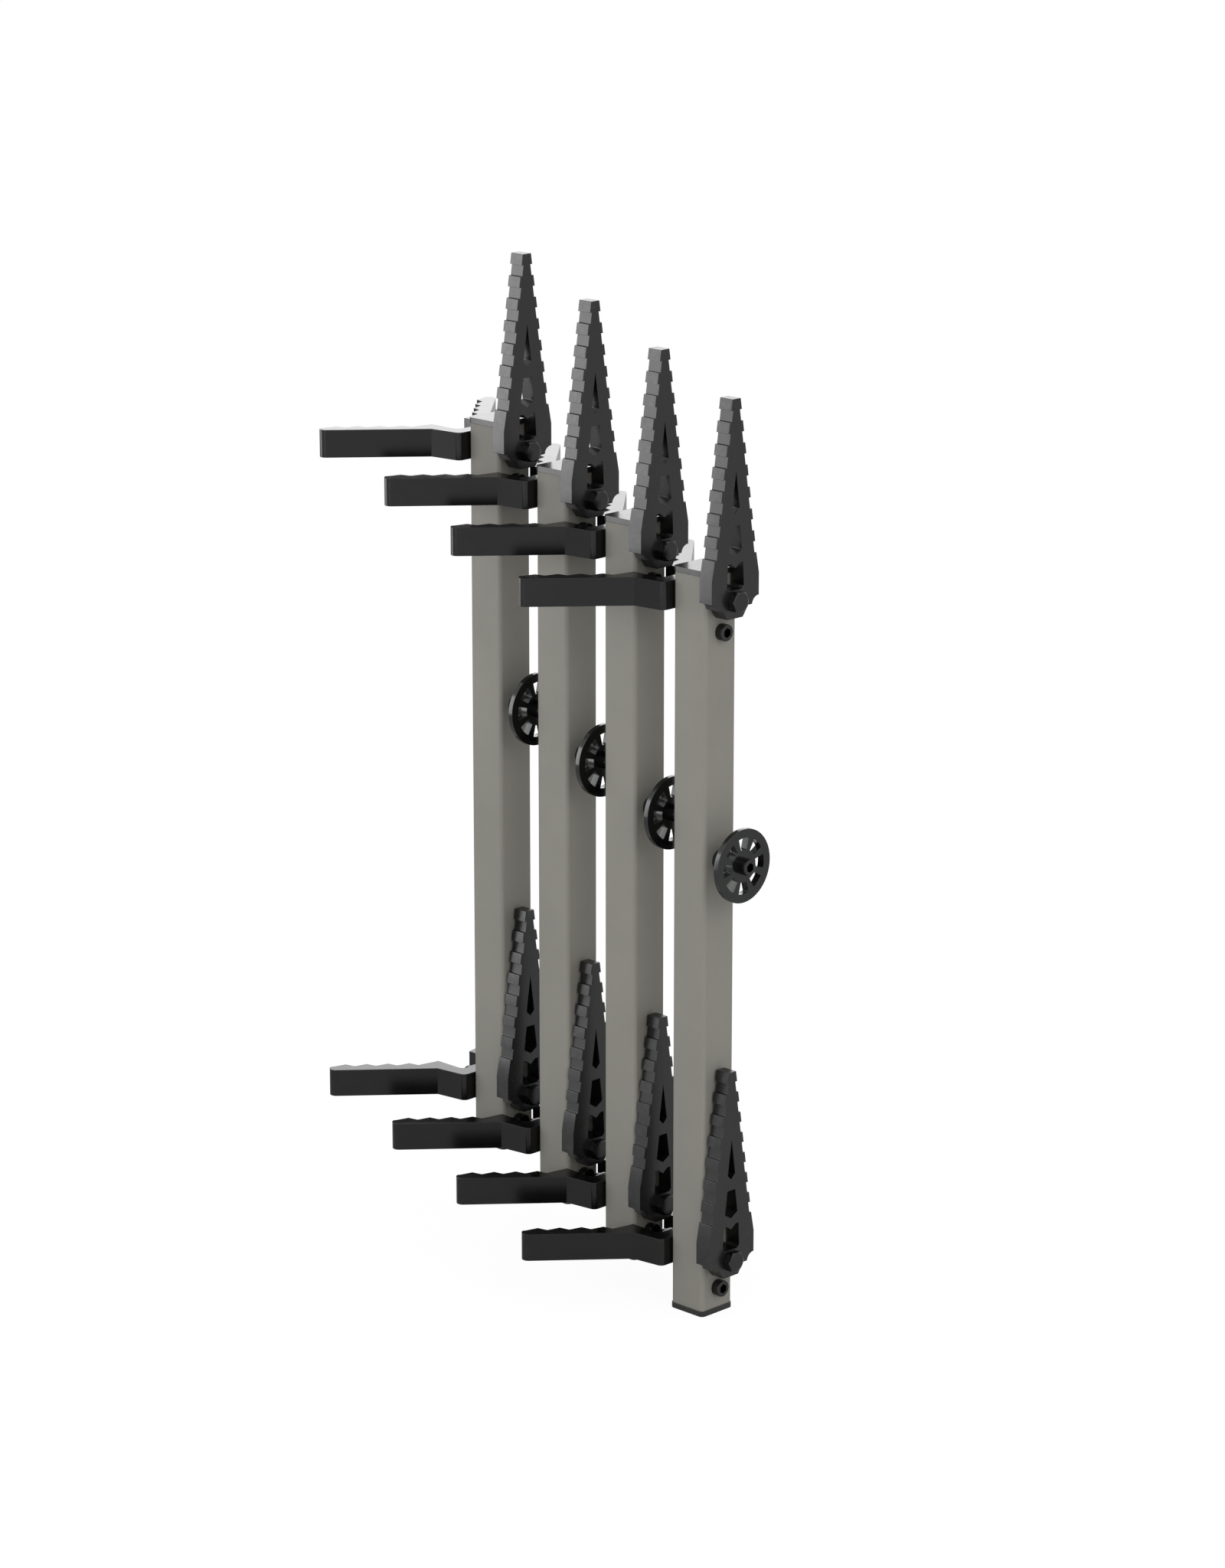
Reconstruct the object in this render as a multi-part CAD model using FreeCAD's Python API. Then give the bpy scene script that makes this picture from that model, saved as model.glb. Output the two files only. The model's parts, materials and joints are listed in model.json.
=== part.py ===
"""Set of four nested climbing sticks.

Each stick is a square tube with plastic end caps, two folding truss steps and a strap
button on its front face, and two V brackets that bite the tree on its back face.  The
sticks nest one behind another, each tube in the mouth of the brackets in front of it.

Frame: +X across the steps, +Y towards the tree, +Z up the stick.  The origin is the
middle of the underside of the front stick.  All sizes are in millimetres.
"""
import FreeCAD, Part
import math
import os

from FreeCAD import Vector

# ---- the set -------------------------------------------------------------------------
stick_count = 4
nest_depth_gap = 0.65      # between a pivot nut and the step of the stick behind it
nest_height_gap = 2.8      # between a bracket and the foot of the step behind it

# ---- tube and end caps ---------------------------------------------------------------
tube_width = 31.75
tube_wall = 2.1
tube_corner_radius = 3.2
tube_length = 552.0
cap_lip_height = 4.2
cap_overhang = 0.6
cap_plug_depth = 11.0
cap_plug_wall = 1.8
cap_plug_clearance = 0.5   # between the plug's body and the bore of the tube
cap_barb_height = 1.2
cap_barb_clearance = 0.1
cap_barb_count = 2

# ---- fasteners -----------------------------------------------------------------------
pivot_bolt_diameter = 9.52
pivot_head_flats = 14.3
pivot_head_height = 6.0
pivot_nut_height = 11.6        # with its flange
pivot_nut_flange_diameter = 20.0
pivot_nut_flange_height = 1.6
pivot_head_turn = -5.0     # how far the hexagon stands off level, in degrees
screw_diameter = 7.94
screw_head_diameter = 12.4
screw_head_height = 6.2
screw_socket_flats = 6.35
screw_socket_depth = 3.4
screw_nut_flats = 12.7
screw_nut_height = 8.0
bolt_end_stand_out = 1.5   # of a bolt past its nut
hole_clearance = 0.2       # radial, of a bolt in a drilled hole
thread_clearance = 0.04    # radial, of a bolt in its nut
washer_outer_diameter = 22.0
washer_thickness = 1.6

# ---- places along the stick ----------------------------------------------------------
lower_pivot_height = 44.3
upper_pivot_drop = 21.2    # of the upper pivot below the top of the stick
stop_drop = 24.5           # of the stop screw below its pivot
button_drop = 192.6        # of the strap button below the upper pivot

# ---- folding step --------------------------------------------------------------------
step_thickness = 12.2
step_bore_clearance = 0.05
step_fold_angle = 76.0     # from upright to the stop, either way
step_length = 144.8        # from the pivot to the tip
step_tip_half_width = 4.15
step_half_width = 24.2
step_full_width_height = 17.0
step_shoulder_half_width = 21.3
serration_count = 7
serration_depth = 1.9
serration_end_height = 32.0
stop_seat_clearance = 0.4  # between the seat's arc and the head of the stop screw
step_heel_rise = -5.0      # the level of the heel's shoulders, from the pivot
step_heel_shoulder_half_width = 13.3
step_foot_drop = 12.7
step_foot_half_width = 7.7

# ---- pockets through the step, heights from the pivot --------------------------------
tip_pocket_top = 93.0
tip_pocket_bottom = 66.2
tip_pocket_half_width = 3.9
middle_pocket_top = 54.1
middle_pocket_bottom = 36.3
middle_pocket_top_half_width = 4.1
middle_pocket_half_width = 6.6
pocket_vee_depth = 3.9
base_pocket_top = 27.2
base_pocket_bottom = 7.9
base_pocket_top_half_width = 7.9
base_pocket_half_width = 8.6
base_pocket_notch_half_width = 4.7
base_pocket_notch_depth = 3.5
base_pocket_corner = 2.0

# ---- tree bracket --------------------------------------------------------------------
bracket_height = 20.8
bracket_back_thickness = 11.7
bracket_wall = 9.425           # beside the mouth
bracket_corner_radius = 4.5
bracket_flare = 3.6            # how much wider the outer bend is than the corner
bracket_bend_depth = 26.0      # from the back of the tube to the outer bend
nest_side_clearance = 0.3      # between the mouth and the tube that nests in it
nest_overlap = 1.0             # how far a nested tube goes into the mouth
mouth_corner_radius = 5.0
arm_angle = 42.0               # of the arms, from straight out sideways
arm_length = 82.0              # from the outer bend to the end
arm_thickness = 9.2
arm_end_radius = 5.0
tooth_count = 4
tooth_height = 4.7
tooth_root_start = 14.4        # of the first root, along the arm from the bend
tooth_tip_share = 0.42         # of the pitch, from a tooth's inner root to its tip
tooth_end_land = 3.0           # between the last root and the end of the arm
tooth_root_radius = 1.6

# ---- strap button --------------------------------------------------------------------
button_diameter = 54.6
button_thickness = 6.0
button_back_bevel = 2.2
button_post_length = 17.8
button_post_diameter = 15.9
button_window_count = 8
button_window_inner_radius = 12.2
button_window_outer_radius = 20.8
button_window_half_angle = 14.2

# ---- sizes worked out from the ones above --------------------------------------------
tube_half = tube_width / 2
bore_width = tube_width - 2 * tube_wall
tube_bottom = cap_lip_height
tube_top = tube_bottom + tube_length
stick_height = tube_top + cap_lip_height
pivot_radius = pivot_bolt_diameter / 2
screw_radius = screw_diameter / 2
screw_head_radius = screw_head_diameter / 2
upper_pivot_height = stick_height - upper_pivot_drop
pivot_heights = [lower_pivot_height, upper_pivot_height]
stop_heights = [height - stop_drop for height in pivot_heights]
button_height = upper_pivot_height - button_drop
front_face = -tube_half
back_face = tube_half
step_back = front_face - washer_thickness
step_front = step_back - step_thickness
bracket_back = back_face + bracket_back_thickness
pivot_nut_back = bracket_back + pivot_nut_height
button_back = front_face - button_post_length
button_front = button_back - button_thickness
nest_pitch = pivot_nut_back + nest_depth_gap - step_front
nest_rise = bracket_height / 2 + step_foot_drop + nest_height_gap
mouth_half_width = tube_half + nest_side_clearance
bracket_corner_half_width = mouth_half_width + bracket_wall
bracket_bend_half_width = bracket_corner_half_width + bracket_flare
tooth_pitch = (arm_length - tooth_root_start - tooth_end_land) / tooth_count
mouth_depth = nest_pitch - tube_half + nest_overlap
stop_seat_radius = screw_head_radius + stop_seat_clearance


def mirrored(points):
    """Half an outline, from x = 0 to x = 0, and its mirror image about x = 0."""
    other = [(-x, y) for x, y in reversed(points) if x > 1e-6]
    return points + other


def polygon_face(points, place):
    """A flat face on the corners given, each put in space by place(a, b)."""
    corners = [place(a, b) for a, b in points]
    return Part.Face(Part.makePolygon(corners + corners[:1]))


def upright(height, depth):
    """Places a point of a front view, (x, rise), on the plane at this depth."""
    return lambda x, rise: Vector(x, depth, height + rise)


def level(height):
    """Places a point of a plan view, (x, y), at this height."""
    return lambda x, y: Vector(x, y, height)


def rod(radius, start, end, height):
    """A cylinder along Y at x = 0, between two depths."""
    return Part.makeCylinder(radius, end - start, Vector(0, start, height), Vector(0, 1, 0))


def hexagon(flats, start, end, height, turn=0.0):
    """A hexagonal prism along Y at x = 0, with two flats level when turn is zero."""
    corner_radius = flats / 2 / math.cos(math.radians(30))
    corners = []
    for n in range(6):
        angle = math.radians(60 * n + turn)
        corners.append((corner_radius * math.cos(angle), corner_radius * math.sin(angle)))
    return polygon_face(corners, upright(height, start)).extrude(Vector(0, end - start, 0))


def square_bar(width, bottom, top):
    """A square bar along Z with sharp corners."""
    return Part.makeBox(width, width, top - bottom, Vector(-width / 2, -width / 2, bottom))


def rounded_square(width, radius, bottom, top):
    """A square bar along Z with rounded corners."""
    bar = square_bar(width, bottom, top)
    corners = [edge for edge in bar.Edges if abs(edge.tangentAt(edge.FirstParameter).z) > 0.99]
    return bar.makeFillet(radius, corners)


# ---- tube and caps -------------------------------------------------------------------
def make_tube():
    """Square tube, drilled front and back for the pivots, the stops and the button."""
    tube = rounded_square(tube_width, tube_corner_radius, tube_bottom, tube_top)
    tube = tube.cut(square_bar(bore_width, tube_bottom, tube_top))
    for height in pivot_heights:
        tube = tube.cut(rod(pivot_radius + hole_clearance, front_face - 1, back_face + 1, height))
    for height in stop_heights + [button_height]:
        tube = tube.cut(rod(screw_radius + hole_clearance, front_face - 1, back_face + 1, height))
    return tube


def make_cap():
    """End cap with its lip's outer face at z = 0 and its barbed plug above."""
    lip_width = tube_width + 2 * cap_overhang
    lip = rounded_square(lip_width, tube_corner_radius + cap_overhang, 0, cap_lip_height)
    plug_top = cap_lip_height + cap_plug_depth
    plug_width = bore_width - 2 * cap_plug_clearance
    plug = square_bar(plug_width, cap_lip_height, plug_top)
    barb_width = bore_width - 2 * cap_barb_clearance
    barb_pitch = cap_plug_depth / (cap_barb_count + 1)
    for n in range(cap_barb_count):
        barb_bottom = cap_lip_height + barb_pitch * (n + 1) - cap_barb_height / 2
        plug = plug.fuse(square_bar(barb_width, barb_bottom, barb_bottom + cap_barb_height))
    hollow_width = plug_width - 2 * cap_plug_wall
    hollow = square_bar(hollow_width, cap_lip_height, plug_top)
    return lip.fuse(plug.cut(hollow)).removeSplitter()


def make_top_cap():
    """The same cap, turned over onto the top of the tube."""
    cap = make_cap()
    cap.rotate(Vector(0, 0, 0), Vector(1, 0, 0), 180)
    cap.translate(Vector(0, 0, stick_height))
    return cap


# ---- fasteners -----------------------------------------------------------------------
def make_pivot_bolt(height):
    """Hexagon bolt through step, washer, tube and bracket."""
    head_top = step_front - pivot_head_height
    head = hexagon(pivot_head_flats, head_top, step_front, height, pivot_head_turn)
    end = pivot_nut_back + bolt_end_stand_out
    return head.fuse(rod(pivot_radius, step_front, end, height)).removeSplitter()


def make_socket_screw(seat, height):
    """Socket head screw whose head stands on the seat and whose shank passes the tube."""
    head_top = seat - screw_head_height
    head = rod(screw_head_radius, head_top, seat, height)
    socket = hexagon(screw_socket_flats, head_top, head_top + screw_socket_depth, height)
    end = back_face + screw_nut_height + bolt_end_stand_out
    return head.cut(socket).fuse(rod(screw_radius, seat, end, height)).removeSplitter()


def make_nut(flats, bolt_radius, seat, thickness, height):
    """Hexagon nut seated on a depth, on the side towards the tree."""
    nut = hexagon(flats, seat, seat + thickness, height)
    return nut.cut(rod(bolt_radius + thread_clearance, seat, seat + thickness, height))


def make_flange_nut(height):
    """Pivot nut, whose round flange bears on the back of the bracket."""
    flange_back = bracket_back + pivot_nut_flange_height
    nut = make_nut(pivot_head_flats, pivot_radius, bracket_back, pivot_nut_height, height)
    flange = rod(pivot_nut_flange_diameter / 2, bracket_back, flange_back, height)
    bore = rod(pivot_radius + thread_clearance, bracket_back, flange_back, height)
    return nut.fuse(flange.cut(bore)).removeSplitter()


def make_washer(height):
    """Spacer washer that a step turns against, between it and the tube."""
    washer = rod(washer_outer_diameter / 2, step_back, front_face, height)
    return washer.cut(rod(pivot_radius + hole_clearance, step_back, front_face, height))


# ---- folding step --------------------------------------------------------------------
def edge_half_width(rise):
    """Half width of the step's straight tapered edge, outside its serrations."""
    top = step_length
    share = (top - rise) / (top - serration_end_height)
    return step_tip_half_width + share * (step_shoulder_half_width - step_tip_half_width)


def step_side_points():
    """Right-hand edge of the step from its tip down to the top of the stop seat."""
    block = (step_length - serration_end_height) / (2 * serration_count)
    points = []
    for n in range(serration_count):
        top = step_length - 2 * n * block
        middle = top - block
        bottom = middle - block
        points.append((edge_half_width(top), top))
        points.append((edge_half_width(middle), middle))
        points.append((edge_half_width(middle) - serration_depth, middle))
        points.append((edge_half_width(bottom) - serration_depth, bottom))
    points.append((step_shoulder_half_width, serration_end_height))
    points.append((step_half_width, step_full_width_height))
    return points


def step_outline(height, depth):
    """Face of the step's whole outline: serrated sides, two stop seats and the foot."""
    place = upright(height, depth)
    off_level = math.radians(90 - step_fold_angle)
    seat_x = stop_drop * math.cos(off_level)
    seat_rise = -stop_drop * math.sin(off_level)
    seat_top = seat_rise + math.sqrt(stop_seat_radius ** 2 - (step_half_width - seat_x) ** 2)
    seat_toe_x = seat_x - math.sqrt(stop_seat_radius ** 2 - (step_heel_rise - seat_rise) ** 2)
    seat_start = math.atan2(seat_top - seat_rise, step_half_width - seat_x)
    seat_end = math.atan2(step_heel_rise - seat_rise, seat_toe_x - seat_x)
    half_way = (seat_start + seat_end) / 2
    seat_middle = (seat_x + stop_seat_radius * math.cos(half_way),
                   seat_rise + stop_seat_radius * math.sin(half_way))
    side = step_side_points() + [(step_half_width, seat_top)]
    heel = [(seat_toe_x, step_heel_rise), (step_heel_shoulder_half_width, step_heel_rise),
            (step_foot_half_width, -step_foot_drop)]
    edges = []
    for sign in (1, -1):
        spots = [place(sign * x, rise) for x, rise in side]
        edges += [Part.makeLine(a, b) for a, b in zip(spots, spots[1:])]
        lower = [place(sign * x, rise) for x, rise in heel]
        middle = place(sign * seat_middle[0], seat_middle[1])
        edges.append(Part.Arc(spots[-1], middle, lower[0]).toShape())
        edges += [Part.makeLine(a, b) for a, b in zip(lower, lower[1:])]
    tip_right = place(step_tip_half_width, step_length)
    tip_left = place(-step_tip_half_width, step_length)
    foot_right = place(step_foot_half_width, -step_foot_drop)
    foot_left = place(-step_foot_half_width, -step_foot_drop)
    edges.append(Part.makeLine(tip_left, tip_right))
    edges.append(Part.makeLine(foot_right, foot_left))
    return Part.Face(Part.Wire(Part.__sortEdges__(edges)))


def step_pockets(height, depth):
    """Faces of the three truss pockets, from the tip down to the pivot."""
    tip = [(0, tip_pocket_top), (tip_pocket_half_width, tip_pocket_bottom),
           (0, tip_pocket_bottom - pocket_vee_depth)]
    middle = [(middle_pocket_top_half_width, middle_pocket_top),
              (middle_pocket_half_width, middle_pocket_bottom),
              (0, middle_pocket_bottom - pocket_vee_depth)]
    base = [(0, base_pocket_top - base_pocket_notch_depth),
            (base_pocket_notch_half_width, base_pocket_top),
            (base_pocket_top_half_width, base_pocket_top),
            (base_pocket_half_width, base_pocket_bottom + base_pocket_corner),
            (base_pocket_half_width - base_pocket_corner, base_pocket_bottom)]
    return [polygon_face(mirrored(points), upright(height, depth)) for points in (tip, middle, base)]


def make_step(height):
    """Truss step folded upright on its pivot."""
    through = Vector(0, step_thickness, 0)
    step = step_outline(height, step_front).extrude(through)
    for pocket in step_pockets(height, step_front):
        step = step.cut(pocket.extrude(through))
    bore = rod(pivot_radius + step_bore_clearance, step_front - 1, step_back + 1, height)
    return step.cut(bore)


# ---- tree bracket --------------------------------------------------------------------
def arm_point(along, across):
    """Plan point of the right arm: along it from the outer bend, across it to the teeth."""
    angle = math.radians(arm_angle)
    x = bracket_bend_half_width + along * math.cos(angle) - across * math.sin(angle)
    y = back_face + bracket_bend_depth + along * math.sin(angle) + across * math.cos(angle)
    return (x, y)


def bracket_half_outline():
    """Right half of the bracket in plan, from the tube round the arm to the mouth."""
    tip_offset = tooth_tip_share * tooth_pitch
    points = [(0, back_face), (bracket_corner_half_width, back_face)]
    points.append(arm_point(0, 0))
    points.append(arm_point(arm_length, 0))
    points.append(arm_point(arm_length, arm_thickness))
    points.append(arm_point(arm_length - tooth_end_land, arm_thickness))
    for n in reversed(range(tooth_count)):
        root = tooth_root_start + n * tooth_pitch
        points.append(arm_point(root + tip_offset, arm_thickness + tooth_height))
        points.append(arm_point(root, arm_thickness))
    points.append((mouth_half_width, mouth_depth))
    points.append((mouth_half_width, bracket_back))
    points.append((0, bracket_back))
    return points


def vertical_edges_at(shape, spots):
    """The upright edges that stand on the plan points given, on both sides."""
    chosen = []
    for edge in shape.Edges:
        box = edge.BoundBox
        if box.ZLength < bracket_height / 2 or box.XLength > 1e-3 or box.YLength > 1e-3:
            continue
        for x, y in spots:
            if abs(abs(box.Center.x) - x) < 0.05 and abs(box.Center.y - y) < 0.05:
                chosen.append(edge)
    return chosen


def make_bracket(height):
    """Extruded V bracket, with its toothed arms and the mouth for the next tube."""
    bottom = height - bracket_height / 2
    face = polygon_face(mirrored(bracket_half_outline()), level(bottom))
    bracket = face.extrude(Vector(0, 0, bracket_height))
    rounds = [
        (bracket_corner_radius, [(bracket_corner_half_width, back_face)]),
        (mouth_corner_radius, [(mouth_half_width, bracket_back)]),
        (arm_end_radius, [arm_point(arm_length, 0)]),
        (arm_end_radius / 2, [arm_point(arm_length, arm_thickness)]),
        (tooth_root_radius, [arm_point(tooth_root_start + n * tooth_pitch, arm_thickness)
                             for n in range(1, tooth_count)]),
    ]
    for radius, spots in rounds:
        bracket = bracket.makeFillet(radius, vertical_edges_at(bracket, spots))
    return bracket.cut(rod(pivot_radius + hole_clearance, back_face - 1, bracket_back + 1, height))


# ---- strap button --------------------------------------------------------------------
def make_button():
    """Spoked disc that keeps the strap on its post."""
    disc = rod(button_diameter / 2, button_front, button_back, button_height)
    back = [edge for edge in disc.Edges if edge.BoundBox.YMin > button_back - 1e-3]
    disc = disc.makeChamfer(button_back_bevel, back)
    half = math.radians(button_window_half_angle)
    inner = button_window_inner_radius
    outer = button_window_outer_radius
    place = upright(button_height, button_front)
    corners = [place(inner * math.cos(half), -inner * math.sin(half)),
               place(outer * math.cos(half), -outer * math.sin(half)),
               place(outer * math.cos(half), outer * math.sin(half)),
               place(inner * math.cos(half), inner * math.sin(half))]
    edges = [Part.makeLine(corners[0], corners[1]),
             Part.Arc(corners[1], place(outer, 0), corners[2]).toShape(),
             Part.makeLine(corners[2], corners[3]),
             Part.Arc(corners[3], place(inner, 0), corners[0]).toShape()]
    window = Part.Face(Part.Wire(edges)).extrude(Vector(0, button_thickness, 0))
    for n in range(button_window_count):
        opening = window.copy()
        opening.rotate(Vector(0, 0, button_height), Vector(0, 1, 0), 360 * n / button_window_count)
        disc = disc.cut(opening)
    return disc.cut(rod(screw_radius + hole_clearance, button_front - 1, button_back + 1, button_height))


def make_button_post():
    """Round sleeve that holds the button off the tube."""
    post = rod(button_post_diameter / 2, button_back, front_face, button_height)
    return post.cut(rod(screw_radius + hole_clearance, button_back - 1, front_face + 1, button_height))


# ---- one stick -----------------------------------------------------------------------
def make_stick():
    """Every piece of one stick, by name, with the stick's underside at z = 0."""
    lower, upper = pivot_heights
    nuts = [make_nut(screw_nut_flats, screw_radius, back_face, screw_nut_height, height)
            for height in stop_heights + [button_height]]
    nuts += [make_flange_nut(height) for height in pivot_heights]
    return {
        "tube": make_tube(),
        "top_cap": make_top_cap(),
        "bottom_cap": make_cap(),
        "upper_bracket": make_bracket(upper),
        "lower_bracket": make_bracket(lower),
        "upper_step": make_step(upper),
        "lower_step": make_step(lower),
        "pivot_bolts": Part.makeCompound([make_pivot_bolt(height) for height in pivot_heights]),
        "stop_screws": Part.makeCompound([make_socket_screw(front_face, height)
                                          for height in stop_heights]),
        "washers": Part.makeCompound([make_washer(height) for height in pivot_heights]),
        "nuts": Part.makeCompound(nuts),
        "strap_button": make_button(),
        "button_post": make_button_post(),
        "button_screw": make_socket_screw(button_front, button_height),
    }


def main():
    """Writes the four sticks, the first at the front and each next one behind and higher."""
    os.makedirs("parts", exist_ok=True)
    pieces = make_stick()
    for n in range(stick_count):
        offset = Vector(0, n * nest_pitch, n * nest_rise)
        for name, shape in pieces.items():
            placed = shape.copy()
            placed.translate(offset)
            placed.exportStep(f"parts/stick_{n + 1}_{name}.step")


main()
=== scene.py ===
"""Looks of a nested set of four climbing sticks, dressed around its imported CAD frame.

Each stick is a square aluminium tube with plastic caps, two folding truss steps, two
toothed V brackets and a strap button.  The classes below follow those sub-assemblies.
Lengths are in metres, in the frame of the CAD: +X across the steps, +Y towards the tree,
+Z up the sticks.
"""

import json
import logging
import math
from dataclasses import dataclass
from enum import Enum

import bmesh
import bpy
from mathutils import Matrix, Vector

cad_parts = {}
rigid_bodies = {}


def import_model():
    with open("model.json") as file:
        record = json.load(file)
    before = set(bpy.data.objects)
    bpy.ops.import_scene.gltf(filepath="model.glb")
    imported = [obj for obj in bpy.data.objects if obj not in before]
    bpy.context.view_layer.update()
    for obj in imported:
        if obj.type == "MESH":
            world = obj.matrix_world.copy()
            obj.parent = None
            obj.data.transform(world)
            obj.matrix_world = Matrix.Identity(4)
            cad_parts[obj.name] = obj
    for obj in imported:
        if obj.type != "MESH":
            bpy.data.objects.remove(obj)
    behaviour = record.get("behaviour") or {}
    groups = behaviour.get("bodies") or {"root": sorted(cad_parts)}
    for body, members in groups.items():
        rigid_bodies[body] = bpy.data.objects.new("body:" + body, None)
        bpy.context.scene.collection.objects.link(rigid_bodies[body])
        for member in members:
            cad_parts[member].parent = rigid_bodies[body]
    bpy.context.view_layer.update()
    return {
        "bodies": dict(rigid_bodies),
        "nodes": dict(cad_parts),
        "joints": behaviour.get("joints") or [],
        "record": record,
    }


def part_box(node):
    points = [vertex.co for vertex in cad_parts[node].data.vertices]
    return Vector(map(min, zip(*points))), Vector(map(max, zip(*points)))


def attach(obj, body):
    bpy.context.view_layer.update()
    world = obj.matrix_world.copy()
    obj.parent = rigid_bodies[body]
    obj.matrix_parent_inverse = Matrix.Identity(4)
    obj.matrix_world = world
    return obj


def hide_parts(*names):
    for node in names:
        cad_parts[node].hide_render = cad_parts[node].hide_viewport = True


LOG = logging.getLogger("climbing_sticks")
STICK_COUNT = 4
MM = 0.001
WELD = 1e-7            # distance under which points are one
TOUCH = 1e-6           # distance under which a point lies on a level or a circle
HEXAGON_STEP = math.pi / 3
THREAD_DEPTH_SHARE = 0.54      # of the pitch
THREAD_CHAMFER_SHARE = 0.6     # of the depth of the thread

Colour = tuple[float, float, float]
Place = tuple[float, float, float]
WHITE = (1.0, 1.0, 1.0, 1.0)


class Slot(Enum):
    """Material slots of the record that the pieces take their finish from."""

    TUBE = "tube"
    BRACKET = "bracket"
    STEP = "step"
    CAP = "cap"
    BOLT = "bolt"
    NUT = "nut"
    WASHER = "washer"
    BUTTON = "button"
    POST = "post"


class Grain(Enum):
    """Direction in which the fine lines of a finish run, as stretches along X, Y and Z."""

    NONE = (1.0, 1.0, 1.0)
    THROUGH = (1.0, 0.03, 1.0)
    UPRIGHT = (1.0, 1.0, 0.03)


# ---- finishes ------------------------------------------------------------------------
# Bands of the textures' values, which lie about 0.5, that the finishes are made from.
MOTTLE_BAND = (0.35, 0.65)
GLOSS_BAND = (0.3, 0.7)
GRAIN_BAND = (0.3, 0.7)
STREAK_BAND = (0.45, 0.75)
EDGE_BAND = (0.53, 0.62)
NICK_BAND = (0.42, 0.66)
STREAK_LIFT = 0.5      # how much streaks are lighter, as a share of the mottling's depth
STREAK_SHARE = 0.6     # how strongly the streaks show
BUMP_STRENGTH = 0.5


class NodeGraph:
    """A small helper that adds and joins the nodes of one material or world."""

    def __init__(self, owner: bpy.types.Material | bpy.types.World) -> None:
        """Starts an empty node graph.

        Args:
            owner: Material or world that the nodes belong to.
        """
        owner.use_nodes = True
        self.tree = owner.node_tree
        self.tree.nodes.clear()

    def add(self, kind: str, **sockets: object) -> bpy.types.Node:
        """Adds a node and sets or joins its inputs.

        Args:
            kind: The node's type name.
            sockets: Input values, or output sockets to join, by input name with
                underscores for spaces.  Names that are not inputs are set as properties.

        Returns:
            The new node.
        """
        node = self.tree.nodes.new(kind)
        for key, value in sockets.items():
            name = key.replace("_", " ")
            if name not in node.inputs:
                setattr(node, key, value)
            elif isinstance(value, bpy.types.NodeSocket):
                self.tree.links.new(value, node.inputs[name])
            else:
                node.inputs[name].default_value = value
        return node

    def blend(self, share: object, first: object, second: object) -> bpy.types.NodeSocket:
        """Mixes two colours.

        Args:
            share: Socket or number from 0, all first, to 1, all second.
            first: Colour or socket.
            second: Colour or socket.

        Returns:
            The mixed colour's socket.
        """
        node = self.tree.nodes.new("ShaderNodeMix")
        node.data_type = "RGBA"
        for index, value in ((0, share), (6, first), (7, second)):
            if isinstance(value, bpy.types.NodeSocket):
                self.tree.links.new(value, node.inputs[index])
            elif index == 0:
                node.inputs[index].default_value = value
            else:
                node.inputs[index].default_value = (*value, 1.0)
        return node.outputs[2]

    def spread(self, source: bpy.types.NodeSocket, low: float, high: float,
               first: float = 0.0, second: float = 1.0) -> bpy.types.NodeSocket:
        """Maps a value from low..high on to first..second, held within them.

        Args:
            source: Socket of the value.
            low: Value that gives first.
            high: Value that gives second.
            first: Lower result.
            second: Upper result.

        Returns:
            The mapped value's socket.
        """
        node = self.add("ShaderNodeMapRange", Value=source, From_Min=low, From_Max=high,
                        To_Min=first, To_Max=second)
        return node.outputs["Result"]

    def combine(self, operation: str, first: bpy.types.NodeSocket,
                second: bpy.types.NodeSocket) -> bpy.types.NodeSocket:
        """Works out one number from two.

        Args:
            operation: Name of the sum, such as MULTIPLY or MAXIMUM.
            first: Socket of the first number.
            second: Socket of the second number.

        Returns:
            The result's socket.
        """
        node = self.add("ShaderNodeMath", operation=operation)
        self.tree.links.new(first, node.inputs[0])
        self.tree.links.new(second, node.inputs[1])
        return node.outputs["Value"]

    def mix_shaders(self, share: bpy.types.NodeSocket, first: bpy.types.Node,
                    second: bpy.types.Node) -> bpy.types.NodeSocket:
        """Mixes two shaders.

        Args:
            share: Socket from 0, all first, to 1, all second.
            first: First shader.
            second: Second shader.

        Returns:
            The mixed shader's socket.
        """
        node = self.add("ShaderNodeMixShader", Fac=share)
        for index, shader in enumerate((first, second), start=1):
            self.tree.links.new(shader.outputs[0], node.inputs[index])
        return node.outputs["Shader"]


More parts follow.
